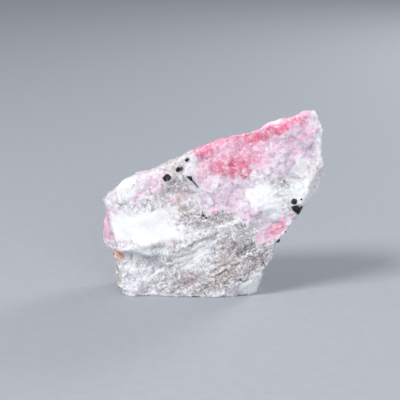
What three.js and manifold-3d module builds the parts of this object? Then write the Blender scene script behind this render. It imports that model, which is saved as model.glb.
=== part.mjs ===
// A rough piece of tugtupite: pink and white rock, broken on every side, with black crystals set in it.
//
// Millimetres. +X is right and +Z is up as the piece stands, and its broad face looks to the front, -Y.
// The origin lies on the flat break that the piece rests on.
//
// The stone is a thick plate of the front outline, tapered to the back, from which rough sheets are
// cut away one after another, as a hammer would. Each sheet has relief of its own, so every fracture
// face has its own lumps and ledges and the edges between them stay sharp. Small flat chips are then
// broken from the corners that still stand out round the back.

import * as THREE from "three";
import { ConvexGeometry } from "three/addons/geometries/ConvexGeometry.js";
import { ImprovedNoise } from "three/addons/math/ImprovedNoise.js";
import { mergeVertices } from "three/addons/utils/BufferGeometryUtils.js";
import Module from "manifold-3d";

const wasm = await Module();
wasm.setup();
const perlin = new ImprovedNoise();

// Driving dimensions
const FACET = 1.5; // spacing of the points on a fracture face
const PLATE_DEPTH = 44; // of the plate before the front and back are cut from it
const WIDEST_Y = -5; // where the outline is at full size
const TAPER = 0.0135; // share by which the outline shrinks for each millimetre behind WIDEST_Y
const TAPER_CENTRE = { x: -3, z: 7 }; // the point that the outline shrinks towards
const MIDDLE = new THREE.Vector3(0, 0, 20); // of the stone, which each cutting block is centred on
const CUTTER_SIZE = 72; // of a cutting block, wide enough to pass right through the plate
const SHEET_SEED = 11.3; // moves the relief of each sheet to another part of the noise
const RISER = { lump: 0.9, ledge: 0.3, across: 4 }; // relief of the step at the edge of a ledge
const CHIP_DIRECTIONS = 70; // spread evenly over a sphere; a chip breaks off in some of them
const CHIP_FACING = [0.35, 0.88]; // least and most that such a direction faces to the back
const CHIP_DEPTHS = [0.3, 0.9]; // from the outermost point of the stone
const CRYSTAL_GAP = 0.2; // free space round a crystal in its pocket
const CRYSTAL_SUNK = 0.7; // share of a crystal's length that is in the stone
const PRISM_LENGTH = 1.5; // length of a crystal's lump as a multiple of the square root of its area
const TOP_BEVEL = 0.3; // how far a lump's top is drawn in from its outline, as a share
const TOP_SLOPE = 0.3; // rise of a lump's top for each millimetre across it

// Outline seen from the front, x and z, from the lower left corner and then counterclockwise.
const OUTLINE = [
  [-20.6, 1.7],
  [-19, 0.2],
  [-17, -1.5],
  [-4, -2.5],
  [6.5, -2.5],
  [9, -0.4],
  [10, 2],
  [10.8, 4],
  [11.1, 5.6],
  [12.1, 6.8],
  [12.9, 8.4],
  [13.2, 11],
  [14.2, 12.7],
  [15.7, 14.1],
  [16.8, 15.7],
  [18.2, 16.6],
  [18.9, 18.2],
  [20.7, 20],
  [22.3, 21.6],
  [24, 23.6],
  [24.9, 25.2],
  [24, 27.2],
  [23.3, 30.4],
  [23.3, 34.4],
  [23.1, 37],
  [22.7, 39],
  [21.9, 40.3],
  [20.3, 40.2],
  [18.3, 39.4],
  [15, 38.2],
  [12.2, 37.6],
  [10.3, 36.2],
  [7.8, 35.4],
  [4.9, 34.8],
  [2, 34],
  [-0.9, 32.8],
  [-3.8, 31.8],
  [-5.9, 30.6],
  [-9.7, 28.9],
  [-12.3, 27.7],
  [-14.8, 26.6],
  [-17.2, 26.3],
  [-19.7, 24.7],
  [-21.3, 22.5],
  [-23.8, 20.6],
  [-22.9, 19],
  [-23.7, 16],
  [-24.6, 11.4],
  [-23.3, 10.1],
  [-21.4, 8.6],
  [-20.9, 6.6],
  [-21.1, 3.2],
];

// Fracture faces, in the order in which they break. `at` is a point on the face and `facing` its
// outward direction. `lump` and `ledge` are heights of rounded and of stepped relief, and `across` the
// distance over which they vary. `grain` is a direction along which the relief is drawn out `drawn`
// times. Where a face has `beyond`, it breaks away only the rock on the outer side of that plane too,
// and leaves a ledge.
const FRACTURES = {
  upperFront: { at: [0, -11.4, 0], facing: [0.03, -1, 0.16], lump: 0.9, ledge: 0.6, across: 8 },
  lowerFront: {
    at: [0, -8.9, 0],
    facing: [0.04, -1, -0.02],
    lump: 0.5,
    ledge: 0.7,
    across: 5.5,
    grain: [0.89, 0, 0.45],
    drawn: 3.5,
  },
  diagonalLedge: {
    at: [0, -8.7, 14],
    facing: [0.05, -1, 0.05],
    lump: 0.4,
    ledge: 0.4,
    across: 6,
    grain: [0.89, 0, 0.45],
    drawn: 3,
    beyond: { at: [-2, -9, 13.4], facing: [0.36, -0.3, -0.86], lump: 0.5 },
  },
  leftWhiteFace: { at: [-17, -9.6, 16], facing: [-0.3, -0.95, 0.1], lump: 0.3, ledge: 0.3, across: 8 },
  underWhiteFace: {
    at: [-16, -8.6, 9],
    facing: [-0.14, -1, 0.02],
    lump: 0.4,
    ledge: 0.4,
    across: 6,
    beyond: { at: [-16, -9, 9.6], facing: [-0.1, -0.4, -0.9], lump: 0.5 },
  },
  leftEdge: { at: [-23.4, -7.4, 15], facing: [-0.84, -0.54, 0.05], lump: 0.5, ledge: 0.4, across: 5 },
  topLeft: { at: [-18.6, -7, 25.4], facing: [-0.4, -0.6, 0.7], lump: 0.4, ledge: 0.3, across: 6 },
  lowerLeft: { at: [-20.4, -7.4, 4], facing: [-0.9, -0.44, -0.1], lump: 0.4, ledge: 0.3, across: 4 },
  topEdge: { at: [14.4, -5.2, 37.6], facing: [-0.22, -0.62, 0.76], lump: 0.3, ledge: 0.3, across: 5 },
  rightEdge: { at: [24, -6.4, 30], facing: [0.8, -0.6, 0.04], lump: 0.5, ledge: 0.3, across: 6 },
  rightShoulder: { at: [21.6, -7.4, 21.6], facing: [0.55, -0.8, -0.2], lump: 0.4, ledge: 0.3, across: 7 },
  lowerRight: { at: [13.3, -7.1, 8], facing: [0.78, -0.5, -0.36], lump: 0.4, ledge: 0.3, across: 4 },
  mainBack: { at: [0, 10.6, 4], facing: [0.06, 1, 0.07], lump: 1.3, ledge: 0.9, across: 9 },
  rightBackLedge: {
    at: [10, 8.2, 20],
    facing: [0.16, 1, 0.02],
    lump: 1,
    ledge: 0.7,
    across: 7,
    beyond: { at: [2, 9, 20], facing: [0.86, 0.35, 0.36] },
  },
  lowBackLedge: {
    at: [-8, 8, 6],
    facing: [-0.06, 1, -0.12],
    lump: 1,
    ledge: 0.7,
    across: 7,
    beyond: { at: [-8, 9, 11.5], facing: [0.2, 0.3, -0.93] },
  },
  upperLeftBack: { at: [-13, 7, 23], facing: [-0.42, 0.8, 0.44], lump: 1, ledge: 0.4, across: 7 },
  rightBack: { at: [20.6, 6.6, 28], facing: [0.62, 0.78, 0.05], lump: 1, ledge: 0.7, across: 7 },
  lowerLeftBack: { at: [-18.6, 8, 8], facing: [-0.6, 0.78, -0.14], lump: 0.9, ledge: 0.6, across: 6 },
  overhang: { at: [14, 6.4, 9], facing: [0.5, 0.7, -0.5], lump: 0.9, ledge: 0.7, across: 6 },
  topBack: { at: [6, 5, 34], facing: [-0.2, 0.6, 0.77], lump: 0.8, ledge: 0.6, across: 6 },
};

// Black crystals. A crystal stands where a line along `seen`, through `at`, first meets the stone.
// Each of its lumps is a short prism, given by the corners of its outline as seen along that line.
const FROM_FRONT = [0, 1, 0];
const FROM_RIGHT = [-1, 0, 0];
const FROM_BACK = [0, -1, 0];
const CRYSTALS = {
  black_crystal_upper_left: {
    at: [-9.8, 0, 26.15],
    seen: FROM_FRONT,
    lumps: [[[-1.05, -0.2], [-0.4, -0.85], [0.7, -0.55], [1.05, 0.15], [0.2, 0.9], [-0.1, 0.7]]],
  },
  black_crystal_upper_middle: {
    at: [-7.05, 0, 27.8],
    seen: FROM_FRONT,
    lumps: [
      [[-0.8, -0.3], [-0.5, -0.6], [0.25, -0.35], [-0.05, 0.5], [-0.3, 0.65], [-0.8, 0]],
      [[-0.25, -0.1], [-0.1, -0.45], [0.65, -0.2], [0.8, 0.2], [0.55, 0.65], [-0.15, 0.25]],
    ],
  },
  black_crystal_top_edge: {
    at: [-5.4, 0, 29.7],
    seen: FROM_FRONT,
    lumps: [[[-0.5, 0], [-0.4, -0.25], [-0.05, -0.45], [0.45, 0.15], [0.25, 0.45], [-0.3, 0.35]]],
  },
  black_crystal_blade: {
    at: [-4.8, 0, 25.9],
    seen: FROM_FRONT,
    lumps: [
      [[-0.55, 0], [0.25, -0.7], [0.55, -0.25], [0.15, 0.6], [-0.5, 0.55]],
      [[0.25, -0.5], [1.7, -2.1], [1.85, -2], [0.45, -0.35]],
    ],
  },
  black_crystal_cluster: {
    at: [18, 0, 18.85],
    seen: FROM_FRONT,
    lumps: [
      [[-1.1, 0.4], [-0.85, -0.2], [-0.2, -0.45], [0.45, 0.1], [0.4, 0.8], [0.05, 1], [-1.3, 0.8]],
      [[0.1, -0.2], [0.75, -0.35], [1, 0], [1.3, 0.75], [0.25, 0.4]],
      [[-0.65, -0.15], [-0.35, -0.55], [0.4, -1.1], [0.75, -0.35], [0.75, 0]],
    ],
  },
  black_crystal_right: {
    at: [17.4, 0, 20.6],
    seen: FROM_FRONT,
    lumps: [[[-0.75, 0.1], [-0.65, -0.3], [-0.2, -0.5], [0.4, -0.45], [0.65, 0], [0.5, 0.6], [-0.3, 0.75]]],
  },
  black_crystal_bead: {
    at: [0, -5.6, 11.7],
    seen: FROM_RIGHT,
    sunk: 0.22,
    lumps: [[[-0.5, -0.1], [-0.2, -0.5], [0.35, -0.45], [0.55, 0.1], [0.25, 0.5], [-0.3, 0.45]]],
  },
  black_crystal_back_high: {
    at: [8.5, 0, 26],
    seen: FROM_BACK,
    lumps: [[[-0.95, -0.1], [-0.3, -0.8], [0.6, -0.6], [0.9, 0.2], [0.3, 0.75], [-0.6, 0.6]]],
  },
  black_crystal_back_middle: {
    at: [3, 0, 15.5],
    seen: FROM_BACK,
    lumps: [
      [[-1.2, 0.1], [-0.7, -0.5], [0.1, -0.4], [0.2, 0.5], [-0.5, 0.9]],
      [[-0.1, -0.2], [0.3, -0.9], [1, -0.7], [1.2, 0.1], [0.3, 0.4]],
    ],
  },
  black_crystal_back_low: {
    at: [-11, 0, 10],
    seen: FROM_BACK,
    lumps: [[[-0.6, -0.2], [0.1, -0.65], [0.65, -0.1], [0.4, 0.55], [-0.4, 0.45]]],
  },
};

// Rounded and stepped relief at a point of a sheet, in millimetres.
function relief(u, v, { lump, ledge, across, drawn = 1 }, seed) {
  const a = u / (across * drawn);
  const b = v / across;
  const rounded = perlin.noise(a, b, seed) + 0.45 * perlin.noise(a * 2.3, b * 2.3, seed + 5.1);
  const level = 2.6 * perlin.noise(a * 0.8, b * 0.8, seed + 9.7);
  const step = Math.floor(level) + THREE.MathUtils.smoothstep(level - Math.floor(level), 0.3, 0.7);
  return lump * rounded + ledge * step;
}

// A three.js geometry as a closed solid, and back again.
function solidFrom(geometry) {
  const bare = geometry.clone();
  bare.deleteAttribute("normal");
  bare.deleteAttribute("uv");
  const merged = mergeVertices(bare, 1e-4);
  return new wasm.Manifold(
    new wasm.Mesh({
      numProp: 3,
      vertProperties: merged.attributes.position.array,
      triVerts: new Uint32Array(merged.index.array),
    }),
  );
}

function geometryFrom(solid) {
  const { vertProperties, triVerts } = solid.getMesh();
  const geometry = new THREE.BufferGeometry();
  geometry.setAttribute("position", new THREE.BufferAttribute(vertProperties, 3));
  geometry.setIndex(new THREE.BufferAttribute(triVerts, 1));
  geometry.computeVertexNormals();
  return geometry;
}

// Moves every point of a geometry by a function that changes it in place.
function movePoints(geometry, move) {
  const positions = geometry.attributes.position;
  const point = new THREE.Vector3();
  for (let i = 0; i < positions.count; i++) {
    move(point.fromBufferAttribute(positions, i));
    positions.setXYZ(i, point.x, point.y, point.z);
  }
  return geometry;
}

// The plate that the stone is cut from: the outline along Y, smaller towards the back, with rough walls.
function roughPlate() {
  const corners = OUTLINE.map(([x, z]) => new THREE.Vector3(x, z, 0));
  const curve = new THREE.CatmullRomCurve3(corners, true, "centripetal");
  const around = Math.round(curve.getLength() / FACET);
  const shape = new THREE.Shape(
    curve.getSpacedPoints(around).slice(1).map(({ x, y }) => new THREE.Vector2(x, y)),
  );
  const plate = new THREE.ExtrudeGeometry(shape, {
    depth: PLATE_DEPTH,
    steps: Math.round(PLATE_DEPTH / FACET),
    bevelEnabled: false,
  });
  plate.rotateX(Math.PI / 2).translate(0, PLATE_DEPTH / 2, 0);
  return movePoints(plate, (point) => {
    const behind = Math.max(0, point.y - WIDEST_Y);
    const size = 1 - TAPER * behind;
    const rough = Math.min(1.1, 0.2 + 0.1 * behind);
    const { x, y, z } = point;
    point.x = TAPER_CENTRE.x + (x - TAPER_CENTRE.x) * size + rough * perlin.noise(x / 5, y / 5, z / 5 + 3.7);
    point.z = TAPER_CENTRE.z + (z - TAPER_CENTRE.z) * size + rough * perlin.noise(x / 5, y / 5, z / 5 + 8.2);
  });
}

// Places a block whose lower side faces the stone, so that this side lies on a plane.
function onPlane(block, outward, at, grain) {
  const along = new THREE.Vector3(...grain);
  along.addScaledVector(outward, -along.dot(outward)).normalize();
  const across = new THREE.Vector3().crossVectors(outward, along);
  const plane = new THREE.Plane().setFromNormalAndCoplanarPoint(outward, at);
  const centre = plane.projectPoint(MIDDLE, new THREE.Vector3());
  return block.applyMatrix4(new THREE.Matrix4().makeBasis(along, across, outward).setPosition(centre));
}

const SIDEWAYS = [1, 0.01, 0.02]; // not square to any face, so that it can be laid along all of them

function cuttingBlock(cells) {
  const block = new THREE.BoxGeometry(CUTTER_SIZE, CUTTER_SIZE, CUTTER_SIZE, cells, cells, 1);
  return block.translate(0, 0, CUTTER_SIZE / 2);
}

// A block whose one rough side lies on a fracture face and which takes away all that is outside it.
function fractureCutter(fracture, seed) {
  const block = movePoints(cuttingBlock(Math.round(CUTTER_SIZE / FACET)), (point) => {
    if (point.z < FACET) point.z = relief(point.x, point.y, fracture, seed);
  });
  const outward = new THREE.Vector3(...fracture.facing).normalize();
  return onPlane(block, outward, new THREE.Vector3(...fracture.at), fracture.grain ?? SIDEWAYS);
}

// The rock that one fracture takes away.
function brokenAway(fracture, seed) {
  const outside = solidFrom(fractureCutter(fracture, seed));
  if (!fracture.beyond) return outside;
  return outside.intersect(solidFrom(fractureCutter({ ...RISER, ...fracture.beyond }, seed + RISER.across)));
}

// The flat break at z = 0 that the stone stands on.
function restingCutter() {
  return onPlane(cuttingBlock(1), new THREE.Vector3(0, 0, -1), new THREE.Vector3(0, 0, 0), SIDEWAYS);
}

// Chips off the parts of the stone that reach out furthest round the edge of the back.
function chipped(stone) {
  const golden = Math.PI * (3 - Math.sqrt(5));
  const { vertProperties } = stone.getMesh();
  const corners = [];
  for (let i = 0; i < vertProperties.length; i += 3) {
    corners.push(new THREE.Vector3().fromArray(vertProperties, i));
  }
  let left = stone;
  for (let i = 0; i < CHIP_DIRECTIONS; i++) {
    const up = 1 - (2 * (i + 0.5)) / CHIP_DIRECTIONS;
    const level = Math.sqrt(1 - up * up);
    const facing = new THREE.Vector3(level * Math.cos(i * golden), level * Math.sin(i * golden), up);
    if (facing.y < CHIP_FACING[0] || facing.y > CHIP_FACING[1]) continue;
    const depth = THREE.MathUtils.lerp(...CHIP_DEPTHS, 0.5 + 0.5 * Math.sin(i * SHEET_SEED));
    const reach = Math.max(...corners.map((corner) => corner.dot(facing)));
    const at = facing.clone().multiplyScalar(reach - depth);
    left = left.subtract(solidFrom(onPlane(cuttingBlock(1), facing, at, SIDEWAYS)));
  }
  return left;
}

function middleOf(corners) {
  return corners.reduce((sum, corner) => sum.add(corner), new THREE.Vector2()).divideScalar(corners.length);
}

// The corners of an outline moved so that each of its sides lies further out by `extra`.
function grownOutline(corners, extra) {
  const middle = middleOf(corners);
  const outward = (from, to) => {
    const side = to.clone().sub(from).rotateAround(new THREE.Vector2(), Math.PI / 2).normalize();
    return side.dot(from.clone().sub(middle)) < 0 ? side.negate() : side;
  };
  return corners.map((corner, i) => {
    const before = outward(corners.at(i - 1), corner);
    const after = outward(corner, corners[(i + 1) % corners.length]);
    return corner.clone().addScaledVector(before.clone().add(after), extra / (1 + before.dot(after)));
  });
}

// One lump of a crystal: a short prism along Z with a bevelled top that slopes a way of its own,
// grown by `extra` all round.
function prism(outline, number, sunk, extra) {
  const corners = grownOutline(outline.map(([x, y]) => new THREE.Vector2(x, y)), extra);
  const middle = middleOf(corners);
  const area = Math.abs(THREE.ShapeUtils.area(outline.map(([x, y]) => new THREE.Vector2(x, y))));
  const length = PRISM_LENGTH * Math.sqrt(area);
  const top = length * (1 - sunk) + extra;
  const slope = new THREE.Vector2(TOP_SLOPE, 0).rotateAround(new THREE.Vector2(), 2 + 1.9 * number);
  const points = corners.flatMap((corner) => {
    const inner = corner.clone().lerp(middle, TOP_BEVEL);
    const rise = slope.dot(inner.clone().sub(middle));
    return [
      new THREE.Vector3(corner.x, corner.y, -length * sunk - extra),
      new THREE.Vector3(corner.x, corner.y, top * 0.45),
      new THREE.Vector3(inner.x, inner.y, top + rise),
    ];
  });
  return new ConvexGeometry(points);
}

// Where a crystal stands on the stone: its axis is between the face's normal there and the line.
function crystalSeat(stone, { at, seen }) {
  const along = new THREE.Vector3(...seen);
  const from = new THREE.Vector3(...at).addScaledVector(along, -CUTTER_SIZE);
  const [hit] = new THREE.Raycaster(from, along).intersectObject(stone);
  const axis = hit.face.normal.clone().sub(along).normalize();
  const side = new THREE.Vector3().crossVectors(new THREE.Vector3(0, 0, 1), axis).normalize();
  const up = new THREE.Vector3().crossVectors(axis, side);
  return new THREE.Matrix4().makeBasis(side, up, axis).setPosition(hit.point);
}

function crystalSolid({ lumps, sunk = CRYSTAL_SUNK }, seat, extra) {
  return lumps
    .map((outline, i) => solidFrom(prism(outline, i, sunk, extra).applyMatrix4(seat)))
    .reduce((whole, lump) => whole.add(lump));
}

function stoneSolid() {
  const broken = Object.values(FRACTURES).reduce(
    (stone, fracture, i) => stone.subtract(brokenAway(fracture, SHEET_SEED * (i + 1))),
    solidFrom(roughPlate()),
  );
  return chipped(broken).subtract(solidFrom(restingCutter()));
}

const stoneMaterial = new THREE.MeshStandardMaterial({ color: 0xe9d9df, roughness: 0.6, metalness: 0 });
const crystalMaterial = new THREE.MeshStandardMaterial({ color: 0x17131a, roughness: 0.3, metalness: 0 });

const whole = stoneSolid();
const uncut = new THREE.Mesh(geometryFrom(whole), stoneMaterial);
const seats = Object.values(CRYSTALS).map((crystal) => crystalSeat(uncut, crystal));
const pocketed = Object.values(CRYSTALS).reduce(
  (stone, crystal, i) => stone.subtract(crystalSolid(crystal, seats[i], CRYSTAL_GAP)),
  whole,
);

const specimen = new THREE.Group();
const stone = new THREE.Mesh(geometryFrom(pocketed), stoneMaterial);
stone.name = "stone";
specimen.add(stone);
Object.entries(CRYSTALS).forEach(([name, crystal], i) => {
  const mesh = new THREE.Mesh(geometryFrom(crystalSolid(crystal, seats[i], 0)), crystalMaterial);
  mesh.name = name;
  specimen.add(mesh);
});

export default specimen;
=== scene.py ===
"""The looks of a rough piece of tugtupite, built round its CAD solids.

Metres, +Z up, with the broad front face towards -Y. The stone is the CAD solid with the low relief of its
breaks raised on it. Its colours are zones named below, which run through the rock, and the shader breaks
them up into grains. The rest is the black crystals, the small black grains, and a plain studio.
"""

import itertools
import math

import bmesh
import bpy
import numpy as np
from mathutils import Matrix, Vector
from mathutils.bvhtree import BVHTree


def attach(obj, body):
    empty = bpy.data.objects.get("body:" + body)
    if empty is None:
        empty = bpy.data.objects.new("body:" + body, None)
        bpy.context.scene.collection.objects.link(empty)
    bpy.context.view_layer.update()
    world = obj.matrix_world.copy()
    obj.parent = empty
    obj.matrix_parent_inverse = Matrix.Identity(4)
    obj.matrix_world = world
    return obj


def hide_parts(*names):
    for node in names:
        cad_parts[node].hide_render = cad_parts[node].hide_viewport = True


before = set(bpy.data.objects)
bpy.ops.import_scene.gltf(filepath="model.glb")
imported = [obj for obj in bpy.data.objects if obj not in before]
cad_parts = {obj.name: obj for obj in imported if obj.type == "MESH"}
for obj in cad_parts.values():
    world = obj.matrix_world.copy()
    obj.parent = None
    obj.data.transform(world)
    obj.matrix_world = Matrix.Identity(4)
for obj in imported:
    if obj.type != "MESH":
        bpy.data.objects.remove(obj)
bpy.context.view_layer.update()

MM = 0.001

# The camera stands where the photograph's did: 14 degrees above the table, a long lens, aimed at AIM.
ELEVATION = math.radians(14)
SENSOR = 36
LENS = 126
DISTANCE = 305.8 * MM
AIM = Vector((-2.7, 0, 19.2)) * MM

# The stone's mesh, in millimetres
VOXEL = 0.25
WELD = 0.002  # corners of the CAD mesh that are closer than this become one
ROUNDING = 2  # subdivisions that round the coarse facets
POCKET_REACH = 0.5  # corners of a crystal's pocket are no further than this from the crystal
PLUG_SIZE = 1.06  # of the solid that fills a pocket, so that it overlaps the pocket's walls
SHARP = math.radians(32)  # edges sharper than this stay sharp

# Smoothing: how often, and what share of the way to the middle of its neighbours each point moves
EVENING = (4, 0.5)  # takes off the steps that the voxels leave
SURROUNDINGS = (14, 0.6)  # gives the level from which ridges and hollows are measured

# The relief of the breaks, in millimetres: size of the features, their height, and what share of the
# height is left on the smoothest rock
LUMP_SIZE, LUMP_HEIGHT, LUMPS_LEFT = 3.4, 0.22, 0.4
STEP_SIZE, STEP_HEIGHT, STEPS_LEFT = 7, 0.1, 0.3
SLAB_SIZE, SLAB_HEIGHT, SLABS_LEFT = 4.2, 0.34, 0.3
CHUNK_SIZE, CHUNK_HEIGHT, CHUNKS_LEFT = 1.9, 0.24, 0.1
GRAIN_SIZE, GRAIN_HEIGHT = 0.6, 0.12
LUMPS_BEHIND = 0.6  # the share of their height that is added at the back
SLABS_IN_FRONT, SLABS_BEHIND = 0.3, 0.3  # the share of their height, and what is added at the back
BEHIND = (-6, 2)  # the y over which the front gives way to the back
SMOOTHER = {"white": 0.5, "pink": 0.35, "lilac": 0.3}  # how much smoother the rock is in a zone
SMOOTHEST = 0.6  # as much as those zones can take off together
SMOOTH_FACET = 0.8  # what the smooth zone takes off the rest
SUGARY, SUGARY_GREY, SUGARIEST = 0.55, 0.5, 1.2  # strength of the grain, what grey adds, and the most
SUGARY_PATCHES = (4, 0.2)  # size and strength of the noise that makes the grain uneven

# Growth lines on the lower front, and the low ridge that crosses it, in millimetres
GROWTH_RISE = math.radians(24)  # towards the right
LINE_SPACING, LINE_HEIGHT = 0.7, 0.12
LINE_LENGTH, LINE_DEPTH = 9, 4  # how far a line runs along the face and into the rock
LINE_BEND = (3, 0.25)  # size and reach of the noise that bends the lines
CREST_HEIGHT = 0.12
CREST_BREAKS = (0.9, 0.9)  # size and strength of the noise that breaks the ridge up
CREST_BODY, CREST_MOST = 0.8, 1.2  # its strength without the noise, and at most

RIDGE_HEIGHT = 0.14  # a point that stands out this far counts as a full ridge
CRYSTAL_HOLLOW = 0.08  # depth of the stone beside a crystal
CRYSTAL_RIM = 0.2  # no relief closer to a crystal than this, so that it doesn't bury it
CLEARED = 1.1  # and all of it from here on

# Noise
PERLIN_GAIN = 1.7  # brings it to about -1 to 1
FACET_RISE = 0.6  # how far broken facets lie above and below one another
LEDGES_EACH = 2.2  # ledges for each unit of the noise
RISER = (0.38, 0.62)  # the part of each ledge in which it rises
SEEDS = {
    "lumps": 10,
    "chunks": 20,
    "grains": 30,
    "sugary": 40,
    "steps": 45,
    "rims": 50,
    "slabs": 60,
    "bends": 70,
    "lines": 80,
    "crest": 90,
}
CELL_FACTORS = (73856093, 19349663, 83492791)  # of the hash that the noises draw from
SEED_FACTOR = 2654435761
MIXERS = ((15, 2246822519), (13, 3266489917))  # shift and factor of each of its rounds

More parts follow.
